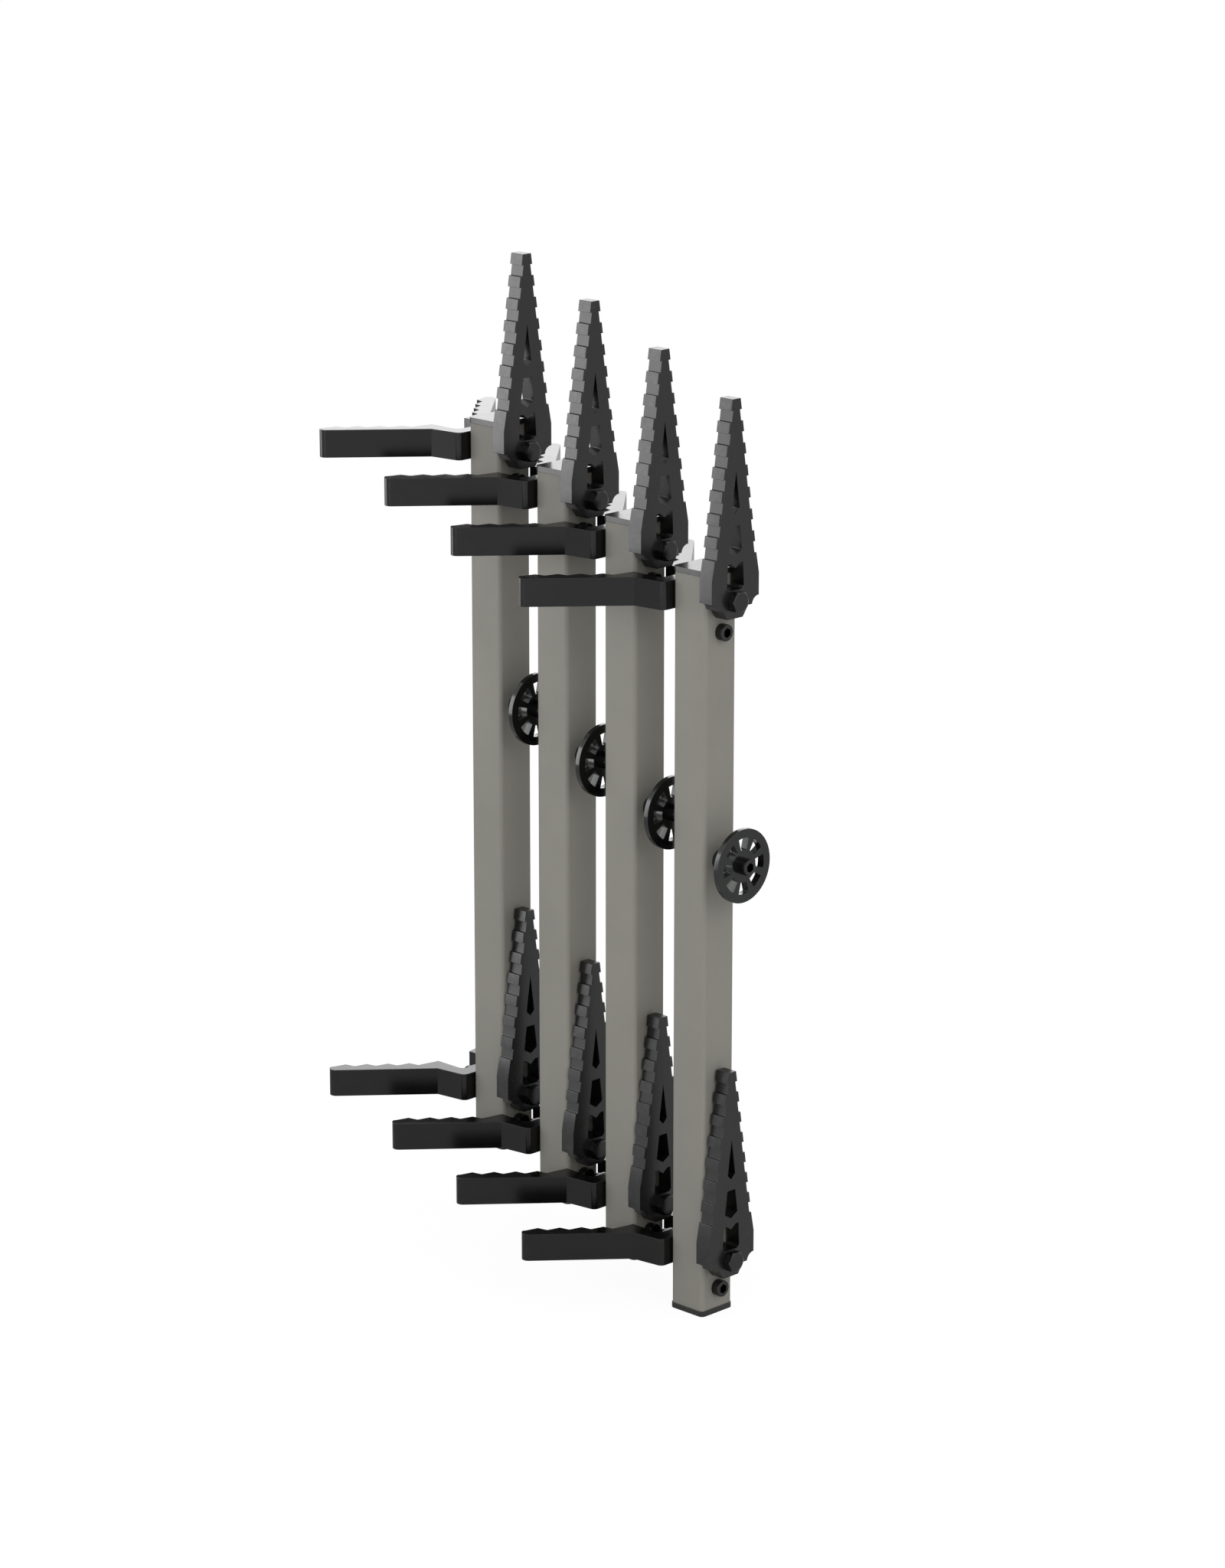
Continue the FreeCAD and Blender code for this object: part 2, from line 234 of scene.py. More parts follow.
@dataclass(frozen=True)
class Finish:
    """One surface finish: its colour, its gloss, its texture and how it wears.

    Attributes:
        name: Name of the material.
        colour: Linear base colour.
        metallic: Metallic share, from 0 to 1.
        roughness: Middle roughness.
        roughness_swing: How far mottling moves the roughness either way.
        mottle_size: Size of the cloudy patches.
        mottle_depth: How much darker the patches are, from 0 to 1.
        grain: Direction of the fine lines.
        grain_size: Spacing of the fine lines or of the pebbling.
        grain_height: Height of the fine lines or of the pebbling.
        wear_colour: Linear colour where edges are rubbed.
        wear: How strongly edges are rubbed, from 0 to 1.
        nick_size: Spacing of the nicks that break up the rubbed edges.
    """

    name: str
    colour: Colour
    metallic: float
    roughness: float
    roughness_swing: float = 0.05
    mottle_size: float = 30 * MM
    mottle_depth: float = 0.12
    grain: Grain = Grain.NONE
    grain_size: float = 0.4 * MM
    grain_height: float = 0.01 * MM
    wear_colour: Colour = (0.35, 0.35, 0.35)
    wear: float = 0.0
    nick_size: float = 4 * MM

    def material(self) -> bpy.types.Material:
        """Builds the finish as a node material.

        Returns:
            The material, made once and shared by all pieces of the finish.
        """
        if self.name in bpy.data.materials:
            return bpy.data.materials[self.name]
        material = bpy.data.materials.new(self.name)
        graph = NodeGraph(material)
        place = graph.add("ShaderNodeTexCoord").outputs["Object"]
        lines = graph.add("ShaderNodeMapping", Vector=place, Scale=self.grain.value)
        grain = graph.add("ShaderNodeTexNoise", Vector=lines.outputs["Vector"],
                          Scale=1 / self.grain_size, Detail=3.0, Roughness=0.6)
        mottle = graph.add("ShaderNodeTexNoise", Vector=place, Scale=1 / self.mottle_size,
                           Detail=5.0, Roughness=0.62)
        patch = graph.spread(mottle.outputs["Fac"], *MOTTLE_BAND)
        fine = graph.spread(grain.outputs["Fac"], *GRAIN_BAND)
        dark = tuple(channel * (1 - self.mottle_depth) for channel in self.colour)
        streak = tuple(channel * (1 + STREAK_LIFT * self.mottle_depth) for channel in self.colour)
        colour = graph.blend(patch, dark, self.colour)
        faint = graph.spread(grain.outputs["Fac"], *STREAK_BAND, 0.0, STREAK_SHARE)
        colour = graph.blend(faint, colour, streak)
        if self.wear > 0:
            colour = graph.blend(self.rubbed(graph, place), colour, self.wear_colour)
        low = self.roughness - self.roughness_swing
        high = self.roughness + self.roughness_swing
        rough = graph.spread(mottle.outputs["Fac"], *GLOSS_BAND, high, low)
        bump = graph.add("ShaderNodeBump", Height=fine, Distance=self.grain_height,
                         Strength=BUMP_STRENGTH)
        shader = graph.add("ShaderNodeBsdfPrincipled", Base_Color=colour, Roughness=rough,
                           Metallic=self.metallic, Normal=bump.outputs["Normal"])
        graph.add("ShaderNodeOutputMaterial", Surface=shader.outputs["BSDF"])
        return material

    def rubbed(self, graph: NodeGraph, place: bpy.types.NodeSocket) -> bpy.types.NodeSocket:
        """Finds the edges that handling rubs bright.

        Args:
            graph: Graph of the material.
            place: Socket of the object coordinates.

        Returns:
            Socket of the wear, from 0 to the finish's wear.
        """
        shape = graph.add("ShaderNodeNewGeometry").outputs["Pointiness"]
        edge = graph.spread(shape, *EDGE_BAND)
        nicks = graph.add("ShaderNodeTexNoise", Vector=place, Scale=1 / self.nick_size, Detail=6.0)
        broken = graph.spread(nicks.outputs["Fac"], *NICK_BAND, 0.0, self.wear)
        return graph.combine("MULTIPLY", edge, broken)


TUBE_FINISH = Finish(
    name="bead_blasted_grey_anodising", colour=(0.255, 0.247, 0.217), metallic=0.1,
    roughness=0.68, roughness_swing=0.04, mottle_size=70 * MM, mottle_depth=0.05,
    grain=Grain.UPRIGHT, grain_size=0.8 * MM, grain_height=0.004 * MM)
BRACKET_FINISH = Finish(
    name="black_anodised_bracket", colour=(0.036, 0.036, 0.037), metallic=0.95,
    roughness=0.2, roughness_swing=0.02, mottle_size=40 * MM, mottle_depth=0.06,
    grain=Grain.UPRIGHT, grain_size=0.8 * MM, grain_height=0.002 * MM,
    wear_colour=(0.12, 0.12, 0.12), wear=0.3)
STEP_FINISH = Finish(
    name="black_anodised_step", colour=(0.057, 0.057, 0.058), metallic=0.95,
    roughness=0.28, roughness_swing=0.02, mottle_size=40 * MM, mottle_depth=0.05,
    grain=Grain.THROUGH, grain_size=0.8 * MM, grain_height=0.002 * MM,
    wear_colour=(0.12, 0.12, 0.12), wear=0.3)
CAP_FINISH = Finish(
    name="moulded_black_plastic", colour=(0.02, 0.02, 0.02), metallic=0.0,
    roughness=0.2, roughness_swing=0.03, mottle_size=12 * MM, mottle_depth=0.1,
    grain_size=0.6 * MM, grain_height=0.004 * MM, wear_colour=(0.06, 0.06, 0.06), wear=0.3)
WASHER_FINISH = Finish(
    name="black_nylon", colour=(0.02, 0.02, 0.021), metallic=0.0, roughness=0.36,
    mottle_size=8 * MM, grain_size=0.3 * MM, grain_height=0.015 * MM)
BOLT_FINISH = Finish(
    name="black_oxide_steel", colour=(0.053, 0.053, 0.054), metallic=0.95, roughness=0.2,
    roughness_swing=0.03, mottle_size=12 * MM, mottle_depth=0.1, grain_size=0.5 * MM,
    grain_height=0.002 * MM, wear_colour=(0.2, 0.2, 0.2), wear=0.3)
NUT_FINISH = Finish(
    name="black_oxide_nut", colour=(0.038, 0.038, 0.039), metallic=0.95, roughness=0.26,
    roughness_swing=0.03, mottle_size=12 * MM, mottle_depth=0.12, grain_size=0.5 * MM,
    grain_height=0.002 * MM, wear_colour=(0.2, 0.2, 0.2), wear=0.3)
BUTTON_FINISH = Finish(
    name="glossy_black_button", colour=(0.05, 0.052, 0.051), metallic=0.92, roughness=0.16,
    roughness_swing=0.03, mottle_size=20 * MM, mottle_depth=0.08, grain_size=0.6 * MM,
    grain_height=0.002 * MM, wear_colour=(0.1, 0.1, 0.1), wear=0.2)
POST_FINISH = Finish(
    name="glossy_black_post", colour=(0.028, 0.028, 0.029), metallic=0.4, roughness=0.28,
    mottle_size=9 * MM, grain_size=0.35 * MM, grain_height=0.006 * MM)

FINISHES: dict[Slot, Finish] = {
    Slot.TUBE: TUBE_FINISH,
    Slot.BRACKET: BRACKET_FINISH,
    Slot.STEP: STEP_FINISH,
    Slot.CAP: CAP_FINISH,
    Slot.BOLT: BOLT_FINISH,
    Slot.NUT: NUT_FINISH,
    Slot.WASHER: WASHER_FINISH,
    Slot.BUTTON: BUTTON_FINISH,
    Slot.POST: POST_FINISH,
}


# ---- shapes --------------------------------------------------------------------------
def turned(profile: list[tuple[float, float]], segments: int) -> bmesh.types.BMesh:
    """Turns a profile about the Z axis.

    Args:
        profile: Radius and height of each point, in order from the bottom up.
        segments: Number of steps round the axis.

    Returns:
        A mesh with the turned surface, open wherever the profile ends off the axis.
    """
    mesh = bmesh.new()
    spots = [mesh.verts.new((radius, 0.0, height)) for radius, height in profile]
    edges = [mesh.edges.new(pair) for pair in zip(spots, spots[1:])]
    bmesh.ops.spin(mesh, geom=spots + edges, cent=(0, 0, 0), axis=(0, 0, 1),
                   angle=math.tau, steps=segments, use_merge=True)
    bmesh.ops.remove_doubles(mesh, verts=mesh.verts, dist=WELD)
    return mesh


def hexagon_corner(flats: float) -> float:
    """Radius of the corners of a hexagon that measures this much across its flats."""
    return flats / 2 / math.cos(HEXAGON_STEP / 2)


def mill_hexagon(mesh: bmesh.types.BMesh, flats: float, turn: float, top: float) -> None:
    """Mills six flats on the lower part of a turned blank.

    Args:
        mesh: The blank, about the Z axis.
        flats: Distance across the flats.
        turn: Angle of the first flat about the axis, in radians.
        top: Height above which nothing is milled.
    """
    for n in range(6):
        angle = turn + n * HEXAGON_STEP
        out = Vector((math.cos(angle), math.sin(angle), 0.0))
        faces = [face for face in mesh.faces if face.calc_center_median().z < top]
        edges = dict.fromkeys(edge for face in faces for edge in face.edges)
        spots = dict.fromkeys(spot for face in faces for spot in face.verts)
        cut = bmesh.ops.bisect_plane(mesh, geom=[*faces, *edges, *spots], plane_co=out * flats / 2,
                                     plane_no=out, clear_outer=True, dist=WELD)
        rim = [item for item in cut["geom_cut"] if isinstance(item, bmesh.types.BMEdge)]
        bmesh.ops.contextual_create(mesh, geom=rim)


def close_outwards(mesh: bmesh.types.BMesh) -> None:
    """Merges the doubles of a closed mesh and turns every face outwards."""
    bmesh.ops.remove_doubles(mesh, verts=mesh.verts, dist=WELD)
    bmesh.ops.recalc_face_normals(mesh, faces=mesh.faces)


def lay_along_y(mesh: bmesh.types.BMesh, seat: float, height: float) -> None:
    """Lays a fastener made about Z on the Y axis, head to the front.

    Args:
        mesh: Fastener with its seat at zero, its head below and its shank above.
        seat: Depth of the seat along Y.
        height: Height of the fastener's axis.
    """
    turn = Matrix.Rotation(math.radians(-90), 4, "X")
    bmesh.ops.transform(mesh, matrix=turn, verts=mesh.verts)
    bmesh.ops.translate(mesh, vec=(0.0, seat, height), verts=mesh.verts)


def join(meshes: list[bmesh.types.BMesh]) -> bmesh.types.BMesh:
    """Joins several meshes into one.

    Args:
        meshes: The meshes, which are freed.

    Returns:
        One mesh that holds them all.
    """
    whole = bmesh.new()
    for mesh in meshes:
        part = bpy.data.meshes.new("part")
        mesh.to_mesh(part)
        mesh.free()
        whole.from_mesh(part)
        bpy.data.meshes.remove(part)
    return whole


def thread_profile(radius: float, start: float, end: float, pitch: float) -> list[tuple[float, float]]:
    """Profile of a threaded end, with its last turn chamfered.

    Args:
        radius: Major radius of the thread.
        start: Height at which the thread begins.
        end: Height of the end.
        pitch: Pitch of the thread.

    Returns:
        Radius and height of each point, from start to the middle of the end.
    """
    depth = THREAD_DEPTH_SHARE * pitch
    chamfer = THREAD_CHAMFER_SHARE * depth
    points = [(radius, start)]
    turns = max(1, int((end - chamfer - start) / pitch))
    step = (end - chamfer - start) / turns
    for n in range(turns):
        points.append((radius - depth, start + (n + 0.5) * step))
        points.append((radius, start + (n + 1) * step))
    points.append((radius - chamfer, end))
    points.append((0.0, end))
    return points


@dataclass
class PivotBolt:
    """Hexagon bolt that a step turns on.

    Attributes:
        radius: Radius of the shank.
        flats: Distance across the flats of the head.
        head: Height of the head.
        turn: How far the hexagon stands off level, in radians.
        pitch: Pitch of the thread.
        chamfer: Height of the turned chamfer on the head.
        crown_share: Share of the flats that the round crown measures across.
        crown_ease: Width of the eased edge of the crown.
        crown_drop: Height of the eased edge of the crown.
        washer_share: Share of the flats that the washer face measures across.
        washer_face: Height of the washer face under the hexagon.
        seat_gap: Gap under the head, so that the step turns freely.
        segments: Steps round the axis.
    """

    radius: float = 4.76 * MM
    flats: float = 14.3 * MM
    head: float = 6.0 * MM
    turn: float = math.radians(-5.0)
    pitch: float = 1.59 * MM
    chamfer: float = 0.9 * MM
    crown_share: float = 0.95
    crown_ease: float = 0.25 * MM
    crown_drop: float = 0.12 * MM
    washer_share: float = 0.97
    washer_face: float = 0.3 * MM
    seat_gap: float = 0.02 * MM
    segments: int = 48

    def build(self, seat: float, end: float, threaded: float, height: float) -> bmesh.types.BMesh:
        """Builds the bolt in place.

        Args:
            seat: Depth of the underside of the head.
            end: Depth of the threaded end.
            threaded: Depth at which the visible thread starts.
            height: Height of the bolt's axis.

        Returns:
            The closed mesh.
        """
        corner = hexagon_corner(self.flats)
        crown = self.crown_share * self.flats / 2
        washer = self.washer_share * self.flats / 2
        lift = self.washer_face
        head = turned([(0.0, -self.head), (crown - self.crown_ease, -self.head),
                       (crown, -self.head + self.crown_drop),
                       (corner, -self.head + self.chamfer), (corner, -lift)], self.segments)
        mill_hexagon(head, self.flats, -self.turn + HEXAGON_STEP / 2, 0.0)
        rim = [edge for edge in head.edges if edge.is_boundary]
        bmesh.ops.contextual_create(head, geom=rim)
        collar = turned([(0.0, -lift), (washer, -lift), (washer, -self.seat_gap),
                         (0.0, -self.seat_gap)], self.segments)
        profile = [(0.0, -lift), (self.radius, -lift)]
        profile += thread_profile(self.radius, threaded - seat, end - seat, self.pitch)
        shank = turned(profile, self.segments)
        for mesh in (head, collar, shank):
            close_outwards(mesh)
        bolt = join([head, collar, shank])
        lay_along_y(bolt, seat, height)
        return bolt


@dataclass
class SocketScrew:
    """Socket head screw with a knurled head and a hexagon socket.

    Attributes:
        radius: Radius of the shank.
        head_radius: Radius of the head.
        head: Height of the head.
        socket_flats: Distance across the flats of the socket.
        socket_depth: Depth of the socket.
        pitch: Pitch of the thread.
        bevel: Width of the bevel round the top of the head.
        knurls: Number of ridges round the head.
        knurl_depth: Depth of the grooves between the ridges.
        plain_foot: Height of the plain band under the knurls.
        foot_step: How much narrower the plain band is, on the radius.
        foot_slope: Height of the slope from the knurls to the plain band.
    """

    radius: float = 3.97 * MM
    head_radius: float = 6.2 * MM
    head: float = 6.2 * MM
    socket_flats: float = 6.35 * MM
    socket_depth: float = 3.4 * MM
    pitch: float = 1.41 * MM
    bevel: float = 0.7 * MM
    knurls: int = 36
    knurl_depth: float = 0.16 * MM
    plain_foot: float = 0.7 * MM
    foot_step: float = 0.1 * MM
    foot_slope: float = 0.15 * MM

    def build(self, seat: float, end: float, threaded: float, height: float) -> bmesh.types.BMesh:
        """Builds the screw in place.

        Args:
            seat: Depth of the underside of the head.
            end: Depth of the threaded end.
            threaded: Depth at which the visible thread starts.
            height: Height of the screw's axis.

        Returns:
            The closed mesh.
        """
        face = self.head_radius - self.bevel
        foot = self.head_radius - self.foot_step
        knurl_top = -self.head + self.bevel
        knurl_bottom = -self.plain_foot
        profile = [(face, -self.head), (face + 0.65 * self.bevel, -self.head + 0.25 * self.bevel),
                   (self.head_radius, knurl_top), (self.head_radius, knurl_bottom),
                   (foot, knurl_bottom + self.foot_slope), (foot, 0.0), (self.radius, 0.0)]
        profile += thread_profile(self.radius, threaded - seat, end - seat, self.pitch)
        screw = turned(profile, 2 * self.knurls)
        self.cut_knurls(screw, knurl_top, knurl_bottom)
        self.cut_socket(screw)
        close_outwards(screw)
        lay_along_y(screw, seat, height)
        return screw

    def cut_knurls(self, screw: bmesh.types.BMesh, top: float, bottom: float) -> None:
        """Pulls every other line of the head's side inwards.

        Args:
            screw: The turned screw.
            top: Height of the upper end of the knurls.
            bottom: Height of the lower end of the knurls.
        """
        share = (self.head_radius - self.knurl_depth) / self.head_radius
        for spot in screw.verts:
            if min(abs(spot.co.z - top), abs(spot.co.z - bottom)) > TOUCH:
                continue
            if abs(spot.co.xy.length - self.head_radius) > TOUCH:
                continue
            place = round(math.atan2(spot.co.y, spot.co.x) / math.tau * 2 * self.knurls)
            if place % 2:
                spot.co.x *= share
                spot.co.y *= share

    def cut_socket(self, screw: bmesh.types.BMesh) -> None:
        """Joins the open top of the head to a hexagon socket.

        Args:
            screw: The turned screw.
        """
        rim = [edge for edge in screw.edges if edge.is_boundary]
        level = Matrix.Translation((0.0, 0.0, -self.head))
        ring = bmesh.ops.create_circle(screw, cap_ends=False, segments=6, matrix=level,
                                       radius=hexagon_corner(self.socket_flats))["verts"]
        mouth = list(dict.fromkeys(edge for spot in ring for edge in spot.link_edges))
        bmesh.ops.bridge_loops(screw, edges=rim + mouth)
        sides = bmesh.ops.extrude_edge_only(screw, edges=mouth)["geom"]
        floor = [item for item in sides if isinstance(item, bmesh.types.BMVert)]
        bmesh.ops.translate(screw, vec=(0.0, 0.0, self.socket_depth), verts=floor)
        edges = [item for item in sides if isinstance(item, bmesh.types.BMEdge)
                 and all(spot in floor for spot in item.verts)]
        bmesh.ops.contextual_create(screw, geom=edges)


@dataclass
class LockNut:
    """Hexagon lock nut with a nylon collar, and a flange where it has one.

    Attributes:
        bore: Radius of the bolt's thread.
        flats: Distance across the flats.
        height: Height of the whole nut.
        flange_radius: Radius of the flange, or 0 for a plain nut.
        flange: Height of the flange.
        collar: Height of the collar above the hexagon.
        chamfer: Height of the turned chamfers.
        collar_share: Radius of the collar, as a share of the flats.
        foot_share: Radius of the foot of a plain nut, as a share of the flats.
        flange_top_share: Radius of the top of the flange, as a share of the flats.
        flange_ease: Width of the eased edge under the flange.
        segments: Steps round the axis.
    """

    bore: float
    flats: float
    height: float
    flange_radius: float = 0.0
    flange: float = 1.6 * MM
    collar: float = 2.2 * MM
    chamfer: float = 0.7 * MM
    collar_share: float = 0.46
    foot_share: float = 0.48
    flange_top_share: float = 0.52
    flange_ease: float = 0.3 * MM
    segments: int = 48

    def build(self, seat: float, height: float) -> bmesh.types.BMesh:
        """Builds the nut in place.

        Args:
            seat: Depth of the face that the nut bears on.
            height: Height of the nut's axis.

        Returns:
            The closed mesh.
        """
        corner = hexagon_corner(self.flats)
        inner = self.collar_share * self.flats
        ease = 0.5 * self.chamfer
        base = self.flange if self.flange_radius else 0.0
        shoulder = self.height - self.collar
        foot = corner if base else self.foot_share * self.flats
        foot_top = base if base else self.chamfer
        hexagon = turned([(self.bore, base), (foot, base), (corner, foot_top),
                          (corner, shoulder - self.chamfer), (inner, shoulder),
                          (inner, self.height - ease), (inner - ease, self.height),
                          (self.bore, self.height), (self.bore, base)], self.segments)
        mill_hexagon(hexagon, self.flats, HEXAGON_STEP / 2, shoulder)
        close_outwards(hexagon)
        parts = [hexagon]
        if base:
            rim = self.flange_radius
            top = self.flange_top_share * self.flats
            flange = turned([(self.bore, 0.0), (rim - self.flange_ease, 0.0),
                             (rim, self.flange_ease), (rim, 0.5 * base), (top, base),
                             (self.bore, base), (self.bore, 0.0)], self.segments)
            close_outwards(flange)
            parts.append(flange)
        nut = join(parts)
        lay_along_y(nut, seat, height)
        return nut


@dataclass
class EasedPart:
    """A CAD piece whose sharp edges are eased, as tumbling or moulding leaves them.

    Attributes:
        node: Name of the CAD node.
        ease: Width of the eased edge.
        segments: Steps across the eased edge.
        crease: Angle above which an edge counts as sharp, in degrees.
        flat: Angle below which two faces are one, in degrees.
        weld: Distance under which points are one.
    """

    node: str
    ease: float
    segments: int = 2
    crease: float = 24.0
    flat: float = 0.6
    weld: float = 0.002 * MM

    def build(self, frame: dict) -> bmesh.types.BMesh:
        """Copies the node's mesh and eases its edges.

        Args:
            frame: The loaded frame.

        Returns:
            The closed, eased mesh.
        """
        mesh = bmesh.new()
        mesh.from_mesh(frame["nodes"][self.node].data)
        bmesh.ops.remove_doubles(mesh, verts=mesh.verts, dist=self.weld)
        bmesh.ops.dissolve_limit(mesh, angle_limit=math.radians(self.flat), verts=mesh.verts,
                                 use_dissolve_boundaries=False, edges=mesh.edges)
        limit = math.radians(self.crease)
        sharp = [edge for edge in mesh.edges
                 if len(edge.link_faces) == 2 and edge.calc_face_angle(0.0) > limit]
        bmesh.ops.bevel(mesh, geom=sharp, offset=self.ease, offset_type="OFFSET", affect="EDGES",
                        segments=self.segments, profile=0.5, material=-1, clamp_overlap=True)
        bmesh.ops.recalc_face_normals(mesh, faces=mesh.faces)
        return mesh


# ---- one stick -----------------------------------------------------------------------
@dataclass
class Stick:
    """One climbing stick: reads its places from the frame and dresses its pieces.

    Attributes:
        frame: The loaded frame.
        number: Number of the stick, 1 at the front.
        thread_shown: Length of the thread at the end of the bolts and screws.
        smooth: Angle above which an edge is shaded as sharp, in degrees.
    """

    frame: dict
    number: int
    thread_shown: float = 2.0 * MM
    smooth: float = 34.0

    def node(self, part: str) -> str:
        """Name of the CAD node of one part of this stick."""
        return f"stick_{self.number}_{part}"

    def pivot_heights(self) -> list[float]:
        """Reads where the steps turn.

        Returns:
            Heights of the step pivots, lower first.
        """
        names = (self.node("lower_step_fold"), self.node("upper_step_fold"))
        joints = {joint["name"]: joint for joint in self.frame["joints"]}
        return [joints[name]["pos_m"][2] for name in names]

    def stop_heights(self) -> list[float]:
        """Reads where the stop screws sit.

        Returns:
            Heights of the stop screws, lower first.
        """
        low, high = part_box(self.node("stop_screws"))
        radius = SocketScrew().head_radius
        return [low.z + radius, high.z - radius]

    def button_height(self) -> float:
        """Height of the strap button."""
        low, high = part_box(self.node("strap_button"))
        return (low.z + high.z) / 2

    def add(self, mesh: bmesh.types.BMesh, name: str, part: str, slot: Slot,
            body: str | None = None) -> bpy.types.Object:
        """Turns a mesh into a finished piece that stands for a CAD node.

        Args:
            mesh: The closed mesh, which is freed.
            name: Name of the piece.
            part: Part of the stick that it stands for.
            slot: Material slot that it takes its finish from.
            body: Body that it rides on, or None for the stick itself.

        Returns:
            The new object.
        """
        data = bpy.data.meshes.new(f"Stick{self.number}_{name}")
        mesh.to_mesh(data)
        mesh.free()
        piece = bpy.data.objects.new(data.name, data)
        bpy.context.scene.collection.objects.link(piece)
        data.shade_smooth()
        data.set_sharp_from_angle(angle=math.radians(self.smooth))
        weighted = piece.modifiers.new("even_normals", "WEIGHTED_NORMAL")
        weighted.keep_sharp = True
        data.materials.append(FINISHES[slot].material())
        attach(piece, body or f"stick_{self.number}")
        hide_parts(self.node(part))
        LOG.info("%s: %d faces, stands for %s", piece.name, len(data.polygons), self.node(part))
        return piece

    def dress_tube(self) -> None:
        """Finishes the tube, whose CAD mesh stays."""
        tube = self.frame["nodes"][self.node("tube")]
        tube.data.materials.clear()
        tube.data.materials.append(FINISHES[Slot.TUBE].material())
        LOG.info("%s keeps its CAD mesh", self.node("tube"))

    def build_caps(self) -> None:
        """Builds the two end caps."""
        for part, name in (("top_cap", "TopCap"), ("bottom_cap", "BottomCap")):
            cap = EasedPart(self.node(part), ease=0.7 * MM, segments=3).build(self.frame)
            self.add(cap, name, part, Slot.CAP)

    def build_brackets(self) -> None:
        """Builds the two V brackets."""
        for part, name in (("upper_bracket", "UpperBracket"), ("lower_bracket", "LowerBracket")):
            bracket = EasedPart(self.node(part), ease=0.35 * MM).build(self.frame)
            self.add(bracket, name, part, Slot.BRACKET)

    def build_steps(self) -> None:
        """Builds the two folding steps."""
        for part, name in (("upper_step", "UpperStep"), ("lower_step", "LowerStep")):
            step = EasedPart(self.node(part), ease=0.25 * MM).build(self.frame)
            self.add(step, name, part, Slot.STEP, body=self.node(part))

    def build_pivot_bolts(self) -> None:
        """Builds the two hexagon bolts that the steps turn on."""
        low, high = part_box(self.node("pivot_bolts"))
        bolt = PivotBolt()
        threaded = high.y - self.thread_shown
        meshes = [bolt.build(low.y + bolt.head, high.y, threaded, height)
                  for height in self.pivot_heights()]
        self.add(join(meshes), "PivotBolts", "pivot_bolts", Slot.BOLT)

    def build_screws(self) -> None:
        """Builds the stop screws and the screw of the strap button."""
        screw = SocketScrew()
        for part, name, heights in (("stop_screws", "StopScrews", self.stop_heights()),
                                    ("button_screw", "ButtonScrew", [self.button_height()])):
            low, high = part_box(self.node(part))
            threaded = high.y - self.thread_shown
            meshes = [screw.build(low.y + screw.head, high.y, threaded, height)
                      for height in heights]
            self.add(join(meshes), name, part, Slot.BOLT)

    def build_nuts(self) -> None:
        """Builds the five nuts behind the tube and the brackets."""
        tube_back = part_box(self.node("tube"))[1].y
        pivot_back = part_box(self.node("nuts"))[1].y
        plain = LockNut(bore=4.01 * MM, flats=12.7 * MM, height=8.0 * MM)
        flanged = LockNut(bore=4.8 * MM, flats=14.3 * MM, height=11.6 * MM,
                          flange_radius=10.0 * MM, collar=3.0 * MM)
        meshes = [plain.build(tube_back, height)
                  for height in self.stop_heights() + [self.button_height()]]
        meshes += [flanged.build(pivot_back - flanged.height, height)
                   for height in self.pivot_heights()]
        self.add(join(meshes), "Nuts", "nuts", Slot.NUT)

    def build_strap_button(self) -> None:
        """Builds the spoked button and its post."""
        button = EasedPart(self.node("strap_button"), ease=0.6 * MM, segments=3).build(self.frame)
        self.add(button, "StrapButton", "strap_button", Slot.BUTTON)
        post = EasedPart(self.node("button_post"), ease=0.4 * MM).build(self.frame)
        self.add(post, "ButtonPost", "button_post", Slot.POST)

    def build_washers(self) -> None:
        """Builds the spacer washers behind the steps."""
        washers = EasedPart(self.node("washers"), ease=0.25 * MM).build(self.frame)
        self.add(washers, "Washers", "washers", Slot.WASHER)

    def build(self) -> None:
        """Builds and dresses every piece of the stick."""
        self.dress_tube()
        self.build_caps()
        self.build_brackets()
        self.build_steps()
        self.build_washers()
        self.build_pivot_bolts()
        self.build_screws()
        self.build_nuts()
        self.build_strap_button()


# ---- studio --------------------------------------------------------------------------
@dataclass(frozen=True)
class Lamp:
    """A soft rectangular lamp that faces the sticks.

    Attributes:
        name: Name of the lamp.
        place: Where it hangs.
        size: Its width and height.
        radiance: Brightness of its face, where 1 is the white of the surroundings.
        sheen_only: Whether it only shows as a sheen on glossy surfaces.
        target: Place on the sticks that it faces.
    """

    name: str
    place: Place
    size: tuple[float, float]
    radiance: float
    sheen_only: bool = False
    target: Place = (0.0, 0.1, 0.4)

    def hang(self) -> None:
        """Hangs the lamp in its place, out of the camera's sight."""
        width, height = self.size
        data = bpy.data.lights.new(self.name, "AREA")
        data.shape = "RECTANGLE"
        data.size, data.size_y = width, height
        data.energy = self.radiance * math.pi * width * height
        lamp = bpy.data.objects.new(self.name, data)
        lamp.location = self.place
        aim = Vector(self.target) - Vector(self.place)
        lamp.rotation_euler = aim.to_track_quat("-Z", "Y").to_euler()
        lamp.visible_camera = False
        lamp.visible_diffuse = not self.sheen_only
        bpy.context.scene.collection.objects.link(lamp)


LAMPS = (
    Lamp("back_bank", (1.5, 1.6, 1.1), (2.2, 1.2), 1.3, sheen_only=True),
    Lamp("left_bank", (-0.9, 1.35, 0.64), (0.9, 1.1), 3.9, sheen_only=True),
    Lamp("left_fill", (-3.9, -1.0, 1.2), (2.4, 2.4), 1.4),
    Lamp("right_fill", (-0.9, -3.6, 2.6), (2.4, 2.4), 2.2),
)


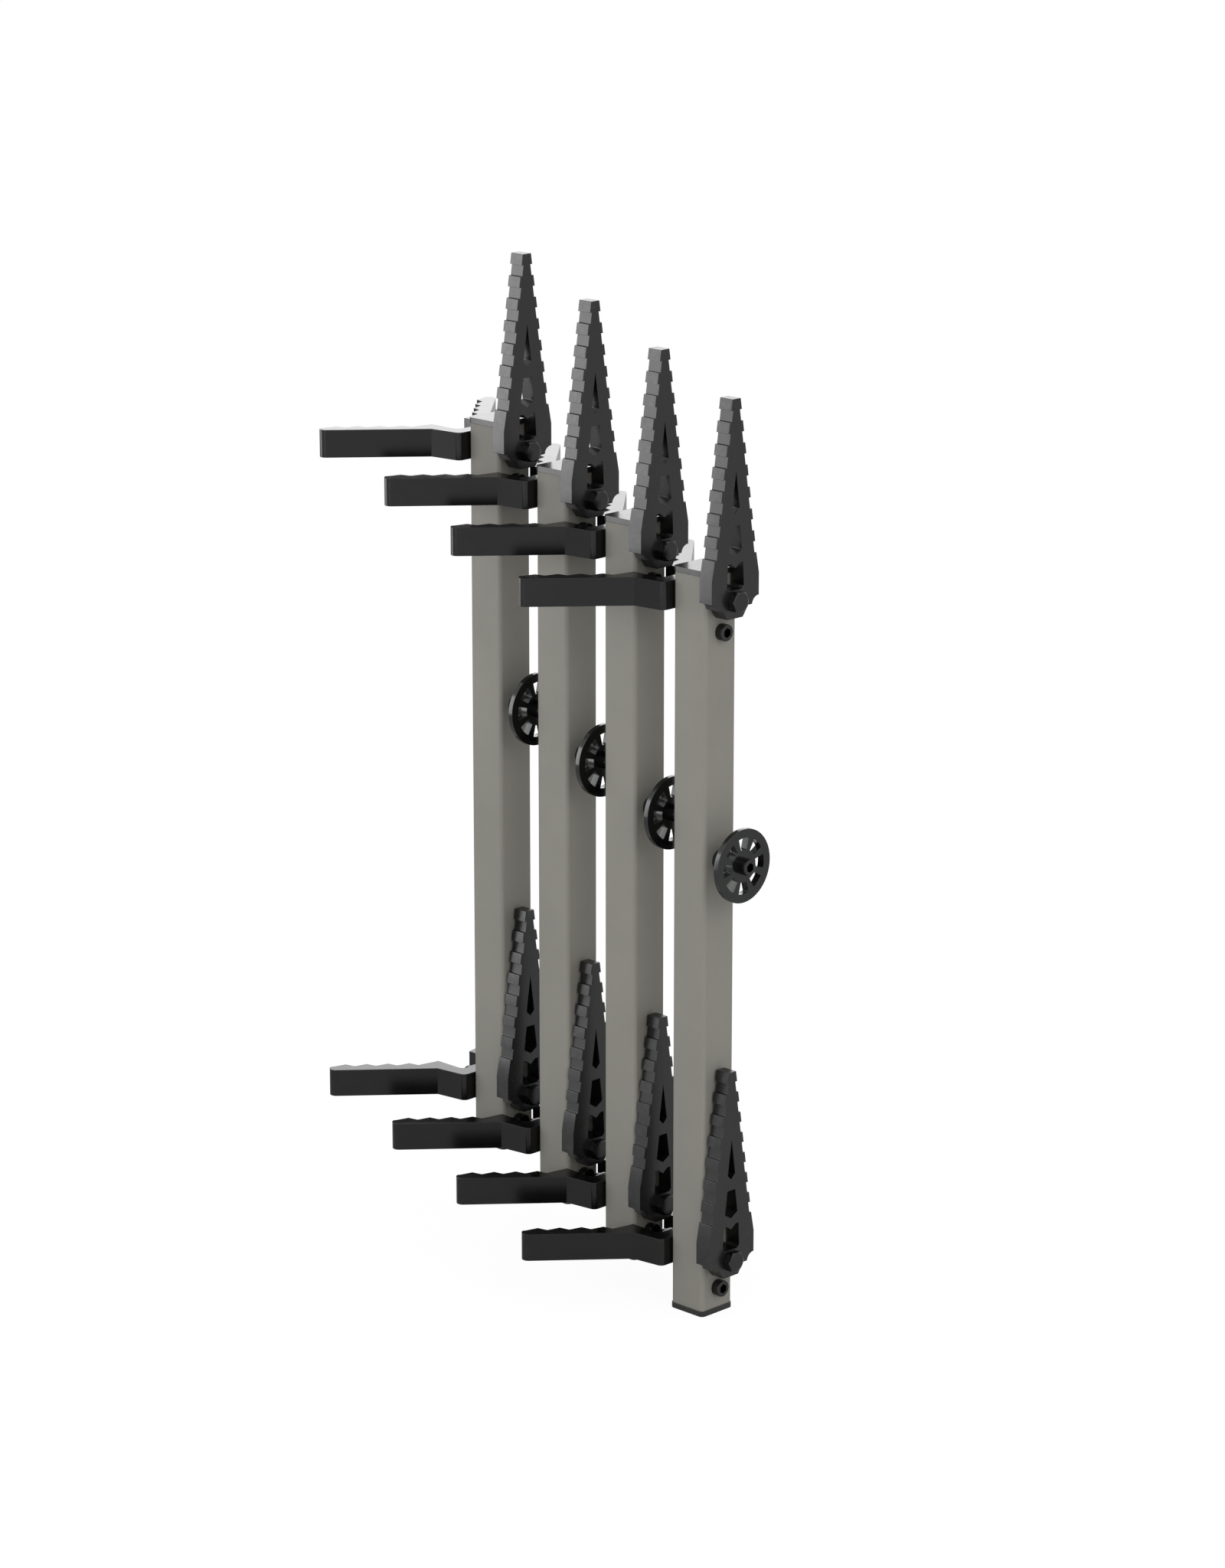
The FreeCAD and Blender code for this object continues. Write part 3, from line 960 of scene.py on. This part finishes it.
@dataclass
class Studio:
    """Camera, lamps, floor and white surroundings.

    Attributes:
        camera_place: Where the camera stands.
        camera_turn: Tilt from straight down and heading of the camera, in degrees.
        lens: Focal length, in millimetres.
        sensor: Longer side of the sensor, in millimetres.
        sight: How far the camera sees.
        soft_light: Brightness of the surroundings in the light that they cast.
        floor_height: Height of the floor, just under the front stick.
        floor_width: Width of the floor.
        floor_grey: Linear brightness of the floor's paint.
        floor_glow: Brightness of the floor's own glow.
        floor_share: Share of the glow in what the camera sees of the floor.
    """

    camera_place: Place = (-2.4729, -2.3513, 1.3426)
    camera_turn: tuple[float, float] = (74.551, -45.343)
    lens: float = 113.48
    sensor: float = 36.0
    sight: float = 200.0
    soft_light: float = 0.6
    floor_height: float = -0.4 * MM
    floor_width: float = 60.0
    floor_grey: float = 0.92
    floor_glow: float = 1.06
    floor_share: float = 0.88

    def place_camera(self) -> None:
        """Puts the camera at its viewing angle."""
        data = bpy.data.cameras.new("camera")
        data.lens = self.lens
        data.sensor_width = self.sensor
        data.clip_end = self.sight
        camera = bpy.data.objects.new("camera", data)
        tilt, heading = (math.radians(angle) for angle in self.camera_turn)
        camera.rotation_euler = (tilt, 0.0, heading)
        camera.location = self.camera_place
        bpy.context.scene.collection.objects.link(camera)
        bpy.context.scene.camera = camera

    def light(self) -> None:
        """Hangs the lamps: sheen banks behind and to the left, and two soft fills."""
        for lamp in LAMPS:
            lamp.hang()

    def surround(self) -> None:
        """Makes the surroundings: white to look at, softer in the light that they cast."""
        world = bpy.data.worlds.new("surroundings")
        bpy.context.scene.world = world
        graph = NodeGraph(world)
        rays = graph.add("ShaderNodeLightPath").outputs
        clear = graph.combine("MAXIMUM", rays["Is Glossy Ray"], rays["Is Transmission Ray"])
        seen = graph.combine("MAXIMUM", rays["Is Camera Ray"], clear)
        white = graph.add("ShaderNodeBackground", Color=WHITE, Strength=1.0)
        soft = graph.add("ShaderNodeBackground", Color=WHITE, Strength=self.soft_light)
        mix = graph.mix_shaders(seen, soft, white)
        graph.add("ShaderNodeOutputWorld", Surface=mix)

    def floor_material(self) -> bpy.types.Material:
        """Makes the pale paint of the floor, which glows for the camera alone.

        Returns:
            The material.
        """
        material = bpy.data.materials.new("pale_floor")
        graph = NodeGraph(material)
        rays = graph.add("ShaderNodeLightPath").outputs
        grey = self.floor_grey
        paint = graph.add("ShaderNodeBsdfDiffuse", Color=(grey, grey, grey, 1.0))
        glow = graph.add("ShaderNodeEmission", Color=WHITE, Strength=self.floor_glow)
        share = graph.spread(rays["Is Camera Ray"], 0.0, 1.0, 0.0, self.floor_share)
        mix = graph.mix_shaders(share, paint, glow)
        graph.add("ShaderNodeOutputMaterial", Surface=mix)
        return material

    def lay_floor(self) -> None:
        """Lays the pale floor."""
        mesh = bmesh.new()
        bmesh.ops.create_grid(mesh, x_segments=1, y_segments=1, size=self.floor_width / 2)
        bmesh.ops.translate(mesh, vec=(0.0, 0.0, self.floor_height), verts=mesh.verts)
        data = bpy.data.meshes.new("floor")
        mesh.to_mesh(data)
        mesh.free()
        floor = bpy.data.objects.new("floor", data)
        bpy.context.scene.collection.objects.link(floor)
        data.materials.append(self.floor_material())

    def build(self) -> None:
        """Sets up the whole studio."""
        self.place_camera()
        self.light()
        self.surround()
        self.lay_floor()
        bpy.context.scene.view_settings.view_transform = "Standard"


def main() -> None:
    """Builds the sticks and the studio around the frame."""
    logging.basicConfig(level=logging.INFO, format="%(message)s")
    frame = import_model()
    for number in range(1, STICK_COUNT + 1):
        Stick(frame, number).build()
    Studio().build()


if __name__ == "__main__":
    main()
